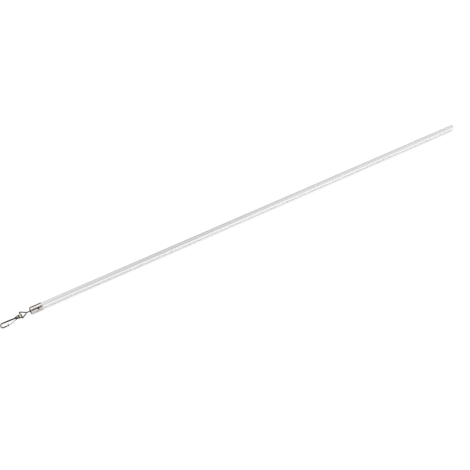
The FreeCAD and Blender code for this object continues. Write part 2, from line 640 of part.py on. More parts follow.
def add_nose(body):
    """The nose's tapered end, turned about its own line."""
    half = new_sketch(body, "nose_half", "XY_Plane")
    foot = ("Layout.nose_foot_u", "Layout.nose_foot_v")
    tip = ("Layout.nose_tip_u", "Layout.nose_tip_v")
    draw_outline(
        half,
        [
            foot,
            tip,
            ("Layout.nose_tip_side_u", "Layout.nose_tip_side_v"),
            ("Layout.nose_foot_side_u", "Layout.nose_foot_side_v"),
        ],
    )
    axis = add_line(half, point(foot), point(tip), True)
    half.addConstraint(Sketcher.Constraint("Coincident", axis, 1, 0, 1))
    half.addConstraint(Sketcher.Constraint("Coincident", axis, 2, 0, 2))
    nose = body.newObject("PartDesign::Revolution", f"{body.Label}_nose")
    nose.Profile = half
    nose.ReferenceAxis = (half, ["Axis0"])
    nose.Angle = 360
    doc.recompute()


def make_gate_rivet():
    body = new_body("gate_rivet", RIVET_PLACE)
    half = new_sketch(body, "half_section", "XZ_Plane")
    draw_rivet_half(half)
    turned = body.newObject("PartDesign::Revolution", "gate_rivet_turned")
    turned.Profile = half
    turned.ReferenceAxis = (origin_feature(body, "Z_Axis"), [""])
    turned.Angle = 360
    doc.recompute()
    return body


def draw_rivet_half(sketch):
    """Half of the rivet's section: a shank between two domed heads."""
    places = [
        ("Layout.rivet_head_radius", "-Layout.fold_outer"),
        ("Layout.rivet_shank_radius", "-Layout.fold_outer"),
        ("Layout.rivet_shank_radius", "Layout.fold_outer"),
        ("Layout.rivet_head_radius", "Layout.fold_outer"),
    ]
    corners = [point(place) for place in places]
    lines = [add_line(sketch, corners[i], corners[i + 1]) for i in range(3)]
    top = FreeCAD.Vector(0, value("Layout.rivet_top"), 0)
    axis = add_line(sketch, top, -top)
    pin_point(sketch, axis, 1, ("0", "Layout.rivet_top"))
    pin_point(sketch, axis, 2, ("0", "-Layout.rivet_top"))
    for i, line in enumerate(lines):
        pin_point(sketch, line, 1, places[i])
    for line, following in zip(lines, lines[1:]):
        sketch.addConstraint(Sketcher.Constraint("Coincident", line, 2, following, 1))
    pin_point(sketch, lines[-1], 2, places[-1])
    dome = value("Sizes.rivet_dome")
    head = value("Layout.rivet_head_radius")
    radius = (head ** 2 + dome ** 2) / (2 * dome)
    spread = math.asin(head / radius)
    for sign, line, line_end, axis_end in ((1, lines[-1], 2, 1), (-1, lines[0], 1, 2)):
        centre = FreeCAD.Vector(0, sign * (value("Layout.rivet_top") - radius), 0)
        circle = Part.Circle(centre, FreeCAD.Vector(0, 0, 1), radius)
        pole = sign * math.pi / 2
        first, last = sorted((pole, pole - sign * spread))
        arc = sketch.addGeometry(Part.ArcOfCircle(circle, first, last), False)
        rim_end, pole_end = (1, 2) if sign > 0 else (2, 1)
        sketch.addConstraint(Sketcher.Constraint("Coincident", arc, rim_end, line, line_end))
        sketch.addConstraint(Sketcher.Constraint("Coincident", arc, pole_end, axis, axis_end))
        sketch.addConstraint(Sketcher.Constraint("PointOnObject", arc, 3, -2))


def make_spring_gate():
    body = new_body("spring_gate", HOOK_PLACE)
    section = new_sketch(body, "section", "XZ_Plane", "-Sizes.rivet_side")
    draw_circle(section, ("Layout.gate_eye_end", "Layout.gate_level"), "Sizes.gate_wire")
    path = new_sketch(body, "path", "XY_Plane", "Layout.gate_level")
    tip = draw_gate_path(path)
    wire = add_pipe(body, "wire", section, path)
    end = FreeCAD.Vector(tip.x, tip.y, value("Layout.gate_level"))
    tip_edge = edges_where(wire, lambda edge: is_end_edge(edge, end))
    dress(body, "Fillet", "tip_end", wire, tip_edge, "Sizes.gate_wire * 0.28")
    return body


def draw_gate_path(sketch):
    """The gate's line: an open eye round the rivet, a straight leg, a bowed end and a curl. Gives back the tip."""
    eye_place = ("Sizes.rivet_back", "Sizes.rivet_side")
    curl_place = ("Layout.curl_u", "Layout.curl_v")
    slope = math.radians(value("Sizes.gate_angle"))
    along = FreeCAD.Vector(math.cos(slope), math.sin(slope), 0)
    across = FreeCAD.Vector(-math.sin(slope), math.cos(slope), 0)
    leg_start = point(eye_place) + across * value("Layout.gate_eye")
    curl_centre = point(curl_place)
    curl_radius = value("Sizes.gate_curl")
    bow_radius = value("Sizes.gate_bow")
    to_curl = curl_centre - leg_start
    rise = bow_radius + to_curl.dot(across)
    leg_length = to_curl.dot(along) - math.sqrt((bow_radius - curl_radius) ** 2 - rise ** 2)
    leg_end = leg_start + along * leg_length
    bow_centre = leg_end - across * bow_radius
    outward = (curl_centre - bow_centre).normalize()
    meeting = math.atan2(outward.y, outward.x)
    tip_turn = math.pi + math.asin(value("Sizes.gate_wire") / 2 / curl_radius)
    tip = curl_centre + FreeCAD.Vector(math.cos(tip_turn), math.sin(tip_turn), 0) * curl_radius
    leg_turn = math.pi / 2 + slope
    eye = add_arc(sketch, point(eye_place), value("Layout.gate_eye"), leg_turn, 2 * math.pi)
    leg = add_line(sketch, leg_start, leg_end)
    bow = add_arc(sketch, bow_centre, bow_radius, meeting, leg_turn)
    curl = add_arc(sketch, curl_centre, curl_radius, tip_turn, meeting + 2 * math.pi)
    pin_point(sketch, eye, 3, eye_place)
    pin_point(sketch, curl, 3, curl_place)
    for arc, radius in ((eye, "Layout.gate_eye"), (bow, "Sizes.gate_bow"), (curl, "Sizes.gate_curl")):
        bind(sketch, "Radius", arc, cell=radius)
    bind(sketch, "DistanceY", -1, 1, eye, 2, cell=eye_place[1])
    bind(sketch, "DistanceY", -1, 1, curl, 1, cell="Layout.curl_end_v")
    sketch.addConstraint(Sketcher.Constraint("Tangent", leg, 1, eye, 1))
    bind(sketch, "Angle", leg, cell="Sizes.gate_angle")
    sketch.addConstraint(Sketcher.Constraint("Tangent", leg, 2, bow, 2))
    sketch.addConstraint(Sketcher.Constraint("Tangent", bow, 1, curl, 2))
    return tip


def add_arc(sketch, centre, radius, first, last):
    circle = Part.Circle(centre, FreeCAD.Vector(0, 0, 1), radius)
    return sketch.addGeometry(Part.ArcOfCircle(circle, first, last), False)


def check_document(bodies):
    """Stops if any object failed or any piece isn't one valid solid."""
    for item in doc.Objects:
        if "Invalid" in item.State or "Error" in item.State:
            raise RuntimeError(f"{item.Label} failed: {item.State}")
    for body in bodies:
        if body.Shape.isNull() or not body.Shape.isValid() or len(body.Shape.Solids) != 1:
            raise RuntimeError(f"{body.Label} is not one valid solid")


def main():
    fill_sheets()
    bodies = [
        make_rod(),
        make_ferrule(),
        make_swivel_eye(),
        make_hook_strap(),
        make_hook_wire(),
        make_gate_rivet(),
        make_spring_gate(),
    ]
    doc.recompute()
    check_document(bodies)
    os.makedirs("parts", exist_ok=True)
    for body in bodies:
        body.Shape.exportStep(f"parts/{body.Label}.step")
        print(body.Label, round(body.Shape.Volume, 2), body.Shape.BoundBox)


main()
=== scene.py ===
"""Dresses a clear curtain wand and sets it on a pale studio floor."""

import json
import math

import bpy
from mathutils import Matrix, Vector


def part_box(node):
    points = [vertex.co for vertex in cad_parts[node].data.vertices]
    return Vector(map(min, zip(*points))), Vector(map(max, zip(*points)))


bl_info = {
    "name": "Curtain Wand Dressing",
    "version": (1, 0, 0),
    "blender": (4, 5, 0),
    "location": "3D View > Sidebar > Wand",
    "description": "Finishes for a clear curtain wand with a swivelling snap hook",
    "category": "Object",
}

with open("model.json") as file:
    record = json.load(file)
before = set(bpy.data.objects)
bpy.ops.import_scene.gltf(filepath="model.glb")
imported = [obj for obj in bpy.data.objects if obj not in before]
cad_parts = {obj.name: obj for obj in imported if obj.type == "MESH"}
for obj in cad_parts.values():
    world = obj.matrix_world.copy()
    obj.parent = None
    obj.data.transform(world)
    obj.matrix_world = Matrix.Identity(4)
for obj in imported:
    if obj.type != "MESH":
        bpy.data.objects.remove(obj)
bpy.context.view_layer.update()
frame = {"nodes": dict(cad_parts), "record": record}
JOINTS = {joint["name"]: joint for joint in frame["record"]["behaviour"]["joints"]}
CUP_END = Vector(JOINTS["eye_swivel"]["pos_m"])
ROD_AXIS = Vector(JOINTS["eye_swivel"]["axis"])
KNUCKLE = Vector(JOINTS["hook_swing"]["pos_m"])
ROD_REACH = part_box("rod")[1][0] - CUP_END.x

# The film is painted shade: a greyer colour on the flats that face up and to the far side, standing in for
# the shadow seen through the rod.
SHADE_SIDE = Vector((0.0, 0.743, 0.669))

# Distances in metres at which a finish starts and at which it is full.
# Along the rod, from the cup's closed end:
GREY_CUP_END = (0.3, 0.05)
SHADE_ALONG = (-0.25, 0.28)
EDGE_LINES_FULL = 0.2
SAWN_END = (ROD_REACH - 0.0006, ROD_REACH - 0.0002)
PAST_END_WALL = (0.0014, 0.0018)
# Across the rod from its axis, towards the side of the painted shade:
SHADE_ACROSS = (-0.0008, 0.0006)
UPPER_EDGES = (-0.0014, 0.0026)
# Out from the cup's axis:
STAKE_FLOORS = (0.00528, 0.00512)
NECK_SHADE_AND_GRIME = (0.0026, 0.0011)
# From the eye's far bar towards the hook's bow:
PAST_FOLD = (0.0, 0.0007)
NEAR_FOLD = (0.0026, 0.0019)
BOW = (0.02, 0.034)

# How often fine lines repeat along X, Y and Z, per metre.
ROD_LINES = (6.0, 900.0, 900.0)
CUP_LINES = (40.0, 2600.0, 2600.0)
EYE_LINES = (300.0, 1500.0, 1500.0)
STRAP_LINES = (250.0, 1800.0, 1800.0)
HOOK_LINES = (200.0, 1500.0, 1500.0)
GATE_LINES = (300.0, 2200.0, 2200.0)
RIVET_LINES = (1400.0, 1400.0, 1400.0)
METAL_LINE_DEPTH = 0.000012
LINE_DETAIL = 3.0

# Scale of the patches of drifting colour, haze and wear, per metre.
ROD_DRIFT = 7.0
ROD_HAZE = 35.0
METAL_DRIFT = 220.0
METAL_HAZE = 380.0
METAL_WEAR = 500.0

# How many times rougher haze makes a surface.
ROD_HAZE_ROUGHENS = 3.0
METAL_HAZE_ROUGHENS = 1.9

# Brightness of the plate's duller patches, the share of white where a piece is rubbed, and the share of
# white in the painted highlight on the hook's bow.
DULL_PATCHES = 0.82
RUBBED_WIRE = 0.3
RUBBED_STRAP = 0.1
BOW_HIGHLIGHT = 0.4
RUBBED_RIVET = 0.4

# Detail of the noise in the patches, and the range over which they go from none to full.
HAZE_DETAIL = 4.0
HAZE_BREAKUP = 0.6
HAZE_CLOUD = (0.4, 0.68)
DRIFT_DETAIL = 2.0
DRIFT_CLOUD = (0.35, 0.7)
WORN_EDGE = (0.52, 0.62)

# Parts of a direction in the room between which its light changes.
AWAY_FROM_CAMERA = (0.9, 0.72)
ROOM_BACK = (0.3, 0.6)
ROOM_LOW = (0.75, 0.6)
ROOM_NOT_RIGHT = (0.5, 0.3)

# A ray's count of diffuse bounces is under this before the first one.
NO_BOUNCE_YET = 0.5

# Half the floor's side in metres, the camera's sensor in millimetres and its clipping in metres.
FLOOR_REACH = 6.0
SENSOR_WIDTH = 36.0
CLIP_START = 0.05
CLIP_END = 50.0

BLACK = (0.0, 0.0, 0.0, 1.0)
WHITE = (1.0, 1.0, 1.0, 1.0)


class AcrylicFinish(bpy.types.PropertyGroup):
    """Clear extruded acrylic of the rod."""

    tint: bpy.props.FloatVectorProperty(
        name="Tint",
        description="Colour of the acrylic along most of the rod",
        subtype="COLOR",
        size=3,
        min=0.0,
        max=1.0,
        default=(0.995, 0.995, 0.995),
    )
    second_tint: bpy.props.FloatVectorProperty(
        name="Second tint",
        description="Colour that the acrylic drifts to in places",
        subtype="COLOR",
        size=3,
        min=0.0,
        max=1.0,
        default=(0.97, 0.97, 0.975),
    )
    # Painted shade: the film tint greys the upper flats, standing in for the shadow seen through the rod.
    upper_shade_tint: bpy.props.FloatVectorProperty(
        name="Upper shade tint",
        description="Greyer colour of painted shade on the upper flats",
        subtype="COLOR",
        size=3,
        min=0.0,
        max=1.0,
        default=(0.56, 0.56, 0.57),
    )
    # Painted shade: the acrylic is greyed near the cup, standing in for the darker, shaded floor seen
    # through it there.
    cup_end_shade: bpy.props.FloatVectorProperty(
        name="Cup end tint",
        description="Greyer colour painted as shade on the acrylic near the cup",
        subtype="COLOR",
        size=3,
        min=0.0,
        max=1.0,
        default=(0.88, 0.88, 0.88),
    )
    # Painted shade: dark lines along the rounded upper edges, standing in for the dark lines that
    # refraction shows there.
    edge_shade_tint: bpy.props.FloatVectorProperty(
        name="Edge tint",
        description="Dark colour of the lines along the rounded upper edges",
        subtype="COLOR",
        size=3,
        min=0.0,
        max=1.0,
        default=(0.16, 0.16, 0.16),
    )
    edge_start: bpy.props.FloatProperty(
        name="Edge start",
        description="Distance from the axis at which the dark line of an edge begins",
        subtype="DISTANCE",
        unit="LENGTH",
        min=0.0,
        precision=5,
        default=0.0046,
    )
    edge_full: bpy.props.FloatProperty(
        name="Edge full",
        description="Distance from the axis at which the line of an edge is darkest",
        subtype="DISTANCE",
        unit="LENGTH",
        min=0.0,
        precision=5,
        default=0.0048,
    )
    edge_fade: bpy.props.FloatProperty(
        name="Edge fade",
        description="Distance from the cup's closed end at which the lines along the edges have cleared",
        subtype="DISTANCE",
        unit="LENGTH",
        min=0.3,
        default=0.5,
    )
    refraction: bpy.props.FloatProperty(
        name="Refraction",
        description="Index of refraction of acrylic",
        min=1.3,
        max=1.7,
        default=1.49,
    )
    roughness: bpy.props.FloatProperty(
        name="Roughness",
        description="Roughness of the clean faces",
        subtype="FACTOR",
        min=0.0,
        max=1.0,
        default=0.02,
    )
    sawn_roughness: bpy.props.FloatProperty(
        name="Sawn end",
        description="Roughness that the saw leaves on the free end",
        subtype="FACTOR",
        min=0.0,
        max=0.9,
        default=0.7,
    )
    # Painted light: the sawn end glows by emission, though it is no lamp.
    sawn_end_glow: bpy.props.FloatVectorProperty(
        name="Sawn end glow",
        description="Painted glow that the free end gives out by emission",
        subtype="COLOR",
        size=3,
        min=0.0,
        max=1.0,
        default=(0.3, 0.3, 0.3),
    )
    clearness: bpy.props.FloatProperty(
        name="Clearness",
        description="Share of the light that goes through, the rest being scattered by haze",
        subtype="FACTOR",
        min=0.0,
        max=1.0,
        default=0.98,
    )
    die_line_depth: bpy.props.FloatProperty(
        name="Die line depth",
        description="Depth of the fine lines that the die leaves along the rod",
        subtype="DISTANCE",
        unit="LENGTH",
        min=0.0,
        max=0.0005,
        precision=6,
        default=0.00001,
    )


class CupFinish(bpy.types.PropertyGroup):
    """Bright nickel plate of the drawn cup."""

    colour: bpy.props.FloatVectorProperty(
        name="Nickel",
        description="Colour of the plate on the cup",
        subtype="COLOR",
        size=3,
        min=0.0,
        max=1.0,
        default=(0.92, 0.885, 0.85),
    )
    worn_colour: bpy.props.FloatVectorProperty(
        name="Worn nickel",
        description="Colour of the plate where hands have rubbed the edges",
        subtype="COLOR",
        size=3,
        min=0.0,
        max=1.0,
        default=(0.96, 0.935, 0.905),
    )
    # Painted shade with grime: dark in the recessed stakes and round the neck hole, where shade falls.
    grime_and_shade_colour: bpy.props.FloatVectorProperty(
        name="Grime and shade",
        description="Dark colour in the stakes and round the neck",
        subtype="COLOR",
        size=3,
        min=0.0,
        max=1.0,
        default=(0.06, 0.04, 0.032),
    )
    graze_colour: bpy.props.FloatVectorProperty(
        name="Grazing",
        description="Tint of the plate where it is seen at a grazing angle",
        subtype="COLOR",
        size=3,
        min=0.0,
        max=1.0,
        default=(0.3, 0.25, 0.22),
    )
    roughness: bpy.props.FloatProperty(
        name="Roughness",
        description="Roughness of the bright plate",
        subtype="FACTOR",
        min=0.0,
        max=1.0,
        default=0.1,
    )


class WireFinish(bpy.types.PropertyGroup):
    """Dark plate of the wires and the strap, and bright steel of the rivet."""

    eye_colour: bpy.props.FloatVectorProperty(
        name="Eye",
        description="Colour of the swivelling eye's wire",
        subtype="COLOR",
        size=3,
        min=0.0,
        max=1.0,
        default=(0.11, 0.095, 0.065),
    )
    strap_colour: bpy.props.FloatVectorProperty(
        name="Strap",
        description="Colour of the folded strap",
        subtype="COLOR",
        size=3,
        min=0.0,
        max=1.0,
        default=(0.075, 0.06, 0.034),
    )
    hook_colour: bpy.props.FloatVectorProperty(
        name="Hook",
        description="Colour of the hook's wire",
        subtype="COLOR",
        size=3,
        min=0.0,
        max=1.0,
        default=(0.07, 0.058, 0.03),
    )
    gate_colour: bpy.props.FloatVectorProperty(
        name="Gate",
        description="Colour of the gate's spring wire",
        subtype="COLOR",
        size=3,
        min=0.0,
        max=1.0,
        default=(0.07, 0.058, 0.03),
    )
    # The rivet's own colour, also used for the painted highlight on the strap's fold.
    rivet_and_highlight_colour: bpy.props.FloatVectorProperty(
        name="Bright",
        description="Colour of the rivet, and of the strap and hook where a highlight is painted on them",
        subtype="COLOR",
        size=3,
        min=0.0,
        max=1.0,
        default=(0.74, 0.7, 0.61),
    )
    graze_colour: bpy.props.FloatVectorProperty(
        name="Grazing",
        description="Tint of the wires and the strap where they are seen at a grazing angle",
        subtype="COLOR",
        size=3,
        min=0.0,
        max=1.0,
        default=(0.3, 0.26, 0.19),
    )
    roughness: bpy.props.FloatProperty(
        name="Roughness",
        description="Roughness of the wires and the strap",
        subtype="FACTOR",
        min=0.0,
        max=1.0,
        default=0.2,
    )
    rivet_roughness: bpy.props.FloatProperty(
        name="Rivet roughness",
        description="Roughness of the rivet",
        subtype="FACTOR",
        min=0.0,
        max=1.0,
        default=0.4,
    )


class StageSetting(bpy.types.PropertyGroup):
    """Floor, lights and camera."""

    floor_colour: bpy.props.FloatVectorProperty(
        name="Floor",
        description="The floor's own grey, which takes the wand's shadow",
        subtype="COLOR",
        size=3,
        min=0.0,
        max=1.0,
        default=(0.22, 0.22, 0.22),
    )
    floor_lift: bpy.props.FloatProperty(
        name="Floor lift",
        description="Light that the floor adds to its own colour, which makes it white to the camera",
        min=0.0,
        max=1.0,
        default=0.86,
    )
    floor_lift_inside: bpy.props.FloatProperty(
        name="Floor lift inside",
        description="The same for what is seen through the acrylic",
        min=0.0,
        max=1.0,
        default=1.0,
    )
    floor_lift_reflected: bpy.props.FloatProperty(
        name="Floor lift reflected",
        description="The same as the metal and the faces of the acrylic reflect it",
        min=0.0,
        max=1.0,
        default=0.48,
    )
    ambient: bpy.props.FloatProperty(
        name="Ambient light",
        description="Even light from all round",
        min=0.0,
        max=2.0,
        default=0.58,
    )
    light_through: bpy.props.FloatProperty(
        name="Light through acrylic",
        description="Share of the even light that reaches the floor through the acrylic",
        subtype="FACTOR",
        min=0.0,
        max=1.0,
        default=0.4,
    )
    dim_colour: bpy.props.FloatVectorProperty(
        name="Dim colour",
        description="Colour of the dim parts of the room, as the metal shows them",
        subtype="COLOR",
        size=3,
        min=0.0,
        max=1.0,
        default=(0.05, 0.028, 0.02),
    )
    back_dimness: bpy.props.FloatProperty(
        name="Back of the room",
        description="Brightness low at the back of the room, as the metal shows it",
        subtype="FACTOR",
        min=0.0,
        max=1.0,
        default=0.0,
    )
    back_dimness_inside: bpy.props.FloatProperty(
        name="Back through acrylic",
        description="The same as it is seen through the acrylic",
        subtype="FACTOR",
        min=0.0,
        max=1.0,
        default=0.9,
    )
    softbox_power: bpy.props.FloatProperty(
        name="Softbox",
        description="Power of the large softbox over the wand",
        subtype="POWER",
        unit="POWER",
        min=0.0,
        max=200.0,
        default=14.5,
    )
    softbox_length: bpy.props.FloatProperty(
        name="Softbox length",
        description="Length of the softbox along the wand",
        subtype="DISTANCE",
        unit="LENGTH",
        min=0.1,
        default=2.4,
    )
    softbox_width: bpy.props.FloatProperty(
        name="Softbox width",
        description="Width of the softbox across the wand",
        subtype="DISTANCE",
        unit="LENGTH",
        min=0.1,
        default=0.9,
    )
    softbox_place: bpy.props.FloatVectorProperty(
        name="Softbox place",
        description="Middle of the softbox, from the middle of the wand",
        subtype="TRANSLATION",
        unit="LENGTH",
        size=3,
        default=(0.0, -0.25, 1.6),
    )
    camera_offset: bpy.props.FloatVectorProperty(
        name="Camera",
        description="Camera's place from the middle of the cup's closed end",
        subtype="TRANSLATION",
        unit="LENGTH",
        size=3,
        default=(-0.3679, -1.0907, 1.188),
    )
    camera_azimuth: bpy.props.FloatProperty(
        name="Azimuth",
        description="Direction in which the camera looks, from +Y",
        subtype="ANGLE",
        unit="ROTATION",
        default=math.radians(-32.76),
    )
    camera_elevation: bpy.props.FloatProperty(
        name="Elevation",
        description="Angle at which the camera looks down",
        subtype="ANGLE",
        unit="ROTATION",
        default=math.radians(43.116),
    )
    lens: bpy.props.FloatProperty(
        name="Lens",
        description="Focal length on a 36 mm sensor",
        subtype="DISTANCE_CAMERA",
        unit="CAMERA",
        min=20.0,
        max=300.0,
        default=90.78,
    )


class WandLook(bpy.types.PropertyGroup):
    """All finishes of the wand and its stage."""

    acrylic: bpy.props.PointerProperty(name="Acrylic", description="Finish of the rod", type=AcrylicFinish)
    cup: bpy.props.PointerProperty(name="Cup", description="Finish of the cup", type=CupFinish)
    wire: bpy.props.PointerProperty(name="Wire", description="Finish of the eye and hook", type=WireFinish)
    stage: bpy.props.PointerProperty(
        name="Stage",
        description="Floor, lights and camera",
        type=StageSetting,
    )


def add_node(tree, kind, **settings):
    """A new node with the given settings."""
    node = tree.nodes.new(kind)
    for key, setting in settings.items():
        setattr(node, key, setting)
    return node


def add_ramp(tree, value, start, full):
    """Smooth ramp from 0 where the value is at start to 1 where it is at full."""
    ramp = add_node(tree, "ShaderNodeMapRange", interpolation_type="SMOOTHSTEP")
    ramp.inputs["From Min"].default_value = start
    ramp.inputs["From Max"].default_value = full
    tree.links.new(value, ramp.inputs["Value"])
    return ramp.outputs["Result"]


def pick(tree, switch, off, on):
    """A node that gives one number where the switch is 0 and another where it is 1."""
    node = add_node(tree, "ShaderNodeMapRange")
    node.inputs["To Min"].default_value = off
    node.inputs["To Max"].default_value = on
    tree.links.new(switch, node.inputs["Value"])
    return node


def combine(tree, operation, first, second):
    """The result of a Math node on two sockets."""
    node = add_node(tree, "ShaderNodeMath", operation=operation)
    tree.links.new(first, node.inputs[0])
    tree.links.new(second, node.inputs[1])
    return node.outputs["Value"]


def new_group(name, inputs, outputs):
    """An empty shader node group with the given sockets: (name, socket type, default)."""
    group = bpy.data.node_groups.new(name, "ShaderNodeTree")
    for label, kind, default in inputs:
        socket = group.interface.new_socket(label, in_out="INPUT", socket_type=kind)
        socket.default_value = default
    for label, kind in outputs:
        group.interface.new_socket(label, in_out="OUTPUT", socket_type=kind)
    return group, group.nodes.new("NodeGroupInput"), group.nodes.new("NodeGroupOutput")


def drawn_lines_group():
    """Fine lines that a die or a drawing tool leaves, long in one direction and narrow across it."""
    if "drawn_lines" in bpy.data.node_groups:
        return bpy.data.node_groups["drawn_lines"]
    group, given, result = new_group(
        "drawn_lines",
        [("Stretch", "NodeSocketVector", (1.0, 1.0, 1.0))],
        [("Height", "NodeSocketFloat")],
    )
    place = add_node(group, "ShaderNodeTexCoord")
    scaled = add_node(group, "ShaderNodeVectorMath", operation="MULTIPLY")
    lines = add_node(group, "ShaderNodeTexNoise")
    lines.inputs["Scale"].default_value = 1.0
    lines.inputs["Detail"].default_value = LINE_DETAIL
    link = group.links.new
    link(place.outputs["Object"], scaled.inputs[0])
    link(given.outputs["Stretch"], scaled.inputs[1])
    link(scaled.outputs["Vector"], lines.inputs["Vector"])
    link(lines.outputs["Fac"], result.inputs["Height"])
    return group


def handling_haze_group():
    """Roughness of a bright surface with cloudy patches that handling has dulled."""
    if "handling_haze" in bpy.data.node_groups:
        return bpy.data.node_groups["handling_haze"]
    group, given, result = new_group(
        "handling_haze",
        [
            ("Scale", "NodeSocketFloat", 60.0),
            ("Clean", "NodeSocketFloat", 0.1),
            ("Hazy", "NodeSocketFloat", 0.2),
        ],
        [("Roughness", "NodeSocketFloat")],
    )
    place = add_node(group, "ShaderNodeTexCoord")
    cloud = add_node(group, "ShaderNodeTexNoise")
    cloud.inputs["Detail"].default_value = HAZE_DETAIL
    cloud.inputs["Roughness"].default_value = HAZE_BREAKUP
    dulled = add_node(group, "ShaderNodeMapRange")
    link = group.links.new
    link(place.outputs["Object"], cloud.inputs["Vector"])
    link(given.outputs["Scale"], cloud.inputs["Scale"])
    link(add_ramp(group, cloud.outputs["Fac"], *HAZE_CLOUD), dulled.inputs["Value"])
    link(given.outputs["Clean"], dulled.inputs["To Min"])
    link(given.outputs["Hazy"], dulled.inputs["To Max"])
    link(dulled.outputs["Result"], result.inputs["Roughness"])
    return group


def colour_drift_group():
    """Slow drift from one colour to another over the surface."""
    if "colour_drift" in bpy.data.node_groups:
        return bpy.data.node_groups["colour_drift"]
    group, given, result = new_group(
        "colour_drift",
        [
            ("Main", "NodeSocketColor", WHITE),
            ("Other", "NodeSocketColor", (0.9, 0.9, 0.9, 1.0)),
            ("Scale", "NodeSocketFloat", 20.0),
        ],
        [("Color", "NodeSocketColor")],
    )
    place = add_node(group, "ShaderNodeTexCoord")
    cloud = add_node(group, "ShaderNodeTexNoise")
    cloud.inputs["Detail"].default_value = DRIFT_DETAIL
    mixed = add_node(group, "ShaderNodeMix", data_type="RGBA")
    link = group.links.new
    link(place.outputs["Object"], cloud.inputs["Vector"])
    link(given.outputs["Scale"], cloud.inputs["Scale"])
    link(add_ramp(group, cloud.outputs["Fac"], *DRIFT_CLOUD), mixed.inputs["Factor"])
    link(given.outputs["Main"], mixed.inputs["A"])
    link(given.outputs["Other"], mixed.inputs["B"])
    link(mixed.outputs["Result"], result.inputs["Color"])
    return group


def edge_wear_group():
    """Mask of the edges that hands and use have rubbed bright."""
    if "edge_wear" in bpy.data.node_groups:
        return bpy.data.node_groups["edge_wear"]
    group, given, result = new_group(
        "edge_wear",
        [("Scale", "NodeSocketFloat", 300.0)],
        [("Mask", "NodeSocketFloat")],
    )
    shape = add_node(group, "ShaderNodeNewGeometry")
    place = add_node(group, "ShaderNodeTexCoord")
    patches = add_node(group, "ShaderNodeTexNoise")
    edges = add_ramp(group, shape.outputs["Pointiness"], *WORN_EDGE)
    link = group.links.new
    link(place.outputs["Object"], patches.inputs["Vector"])
    link(given.outputs["Scale"], patches.inputs["Scale"])
    link(combine(group, "MULTIPLY", edges, patches.outputs["Fac"]), result.inputs["Mask"])
    return group


MASK_INPUTS = [
    ("Point", "NodeSocketVector", (0.0, 0.0, 0.0)),
    ("Direction", "NodeSocketVector", (1.0, 0.0, 0.0)),
    ("Start", "NodeSocketFloat", 0.0),
    ("Full", "NodeSocketFloat", 1.0),
]


def start_from_point(group, given):
    """A place on the object as seen from the given point, and how far it lies along the given direction."""
    place = add_node(group, "ShaderNodeTexCoord")
    offset = add_node(group, "ShaderNodeVectorMath", operation="SUBTRACT")
    along = add_node(group, "ShaderNodeVectorMath", operation="DOT_PRODUCT")
    group.links.new(place.outputs["Object"], offset.inputs[0])
    group.links.new(given.outputs["Point"], offset.inputs[1])
    group.links.new(offset.outputs["Vector"], along.inputs[0])
    group.links.new(given.outputs["Direction"], along.inputs[1])
    return offset.outputs["Vector"], along.outputs["Value"]


def add_step(group, given, result, distance):
    """Smooth mask from 0 at the distance Start to 1 at the distance Full."""
    step = add_node(group, "ShaderNodeMapRange", interpolation_type="SMOOTHSTEP")
    group.links.new(distance, step.inputs["Value"])
    group.links.new(given.outputs["Start"], step.inputs["From Min"])
    group.links.new(given.outputs["Full"], step.inputs["From Max"])
    group.links.new(step.outputs["Result"], result.inputs["Mask"])


def round_mask_group():
    """Mask by the distance from an axis, given by a point and a direction."""
    if "round_mask" in bpy.data.node_groups:
        return bpy.data.node_groups["round_mask"]
    group, given, result = new_group("round_mask", MASK_INPUTS, [("Mask", "NodeSocketFloat")])
    offset, along = start_from_point(group, given)
    foot = add_node(group, "ShaderNodeVectorMath", operation="SCALE")
    across = add_node(group, "ShaderNodeVectorMath", operation="SUBTRACT")
    distance = add_node(group, "ShaderNodeVectorMath", operation="LENGTH")
    link = group.links.new
    link(given.outputs["Direction"], foot.inputs[0])
    link(along, foot.inputs["Scale"])
    link(offset, across.inputs[0])
    link(foot.outputs["Vector"], across.inputs[1])
    link(across.outputs["Vector"], distance.inputs[0])
    add_step(group, given, result, distance.outputs["Value"])
    return group


def along_mask_group():
    """Mask by the distance from a point along a direction."""
    if "along_mask" in bpy.data.node_groups:
        return bpy.data.node_groups["along_mask"]
    group, given, result = new_group("along_mask", MASK_INPUTS, [("Mask", "NodeSocketFloat")])
    _, along = start_from_point(group, given)
    add_step(group, given, result, along)
    return group


def place_group(tree, group, **inputs):
    """Puts a node group in a material with its own values."""
    node = add_node(tree, "ShaderNodeGroup", node_tree=group)
    for label, setting in inputs.items():
        node.inputs[label].default_value = setting
    return node


def axis_mask(tree, group, point, direction, span):
    """Mask from a point and a direction: none at the span's first distance and full at its second."""
    start, full = span
    mask = place_group(tree, group, Point=point, Direction=direction, Start=start, Full=full)
    return mask.outputs["Mask"]


def new_material(name):
    """A material with one Principled shader."""
    material = bpy.data.materials.new(name)
    material.use_nodes = True
    return material, material.node_tree, material.node_tree.nodes["Principled BSDF"]


def opaque(colour):
    """The colour with full alpha, as sockets take it."""
    return (colour[0], colour[1], colour[2], 1.0)


def lighter(colour, share):
    """The colour, moved towards white by the given share."""
    return [channel + (1.0 - channel) * share for channel in colour]


def add_bump(tree, shader, height, distance):
    """Raises the surface by a height that changes over it, up to the given distance."""
    bump = add_node(tree, "ShaderNodeBump")
    bump.inputs["Strength"].default_value = 1.0
    bump.inputs["Distance"].default_value = distance
    tree.links.new(height, bump.inputs["Height"])
    tree.links.new(bump.outputs["Normal"], shader.inputs["Normal"])


def add_mark(tree, colour, mark_colour, masks):
    """Lays a mark of another colour over a surface, where all the given masks are set."""
    where = masks[0]
    for mask in masks[1:]:
        where = combine(tree, "MULTIPLY", where, mask)
    marked = add_node(tree, "ShaderNodeMix", data_type="RGBA")
    marked.inputs["B"].default_value = opaque(mark_colour)
    tree.links.new(where, marked.inputs["Factor"])
    tree.links.new(colour, marked.inputs["A"])
    return marked.outputs["Result"]


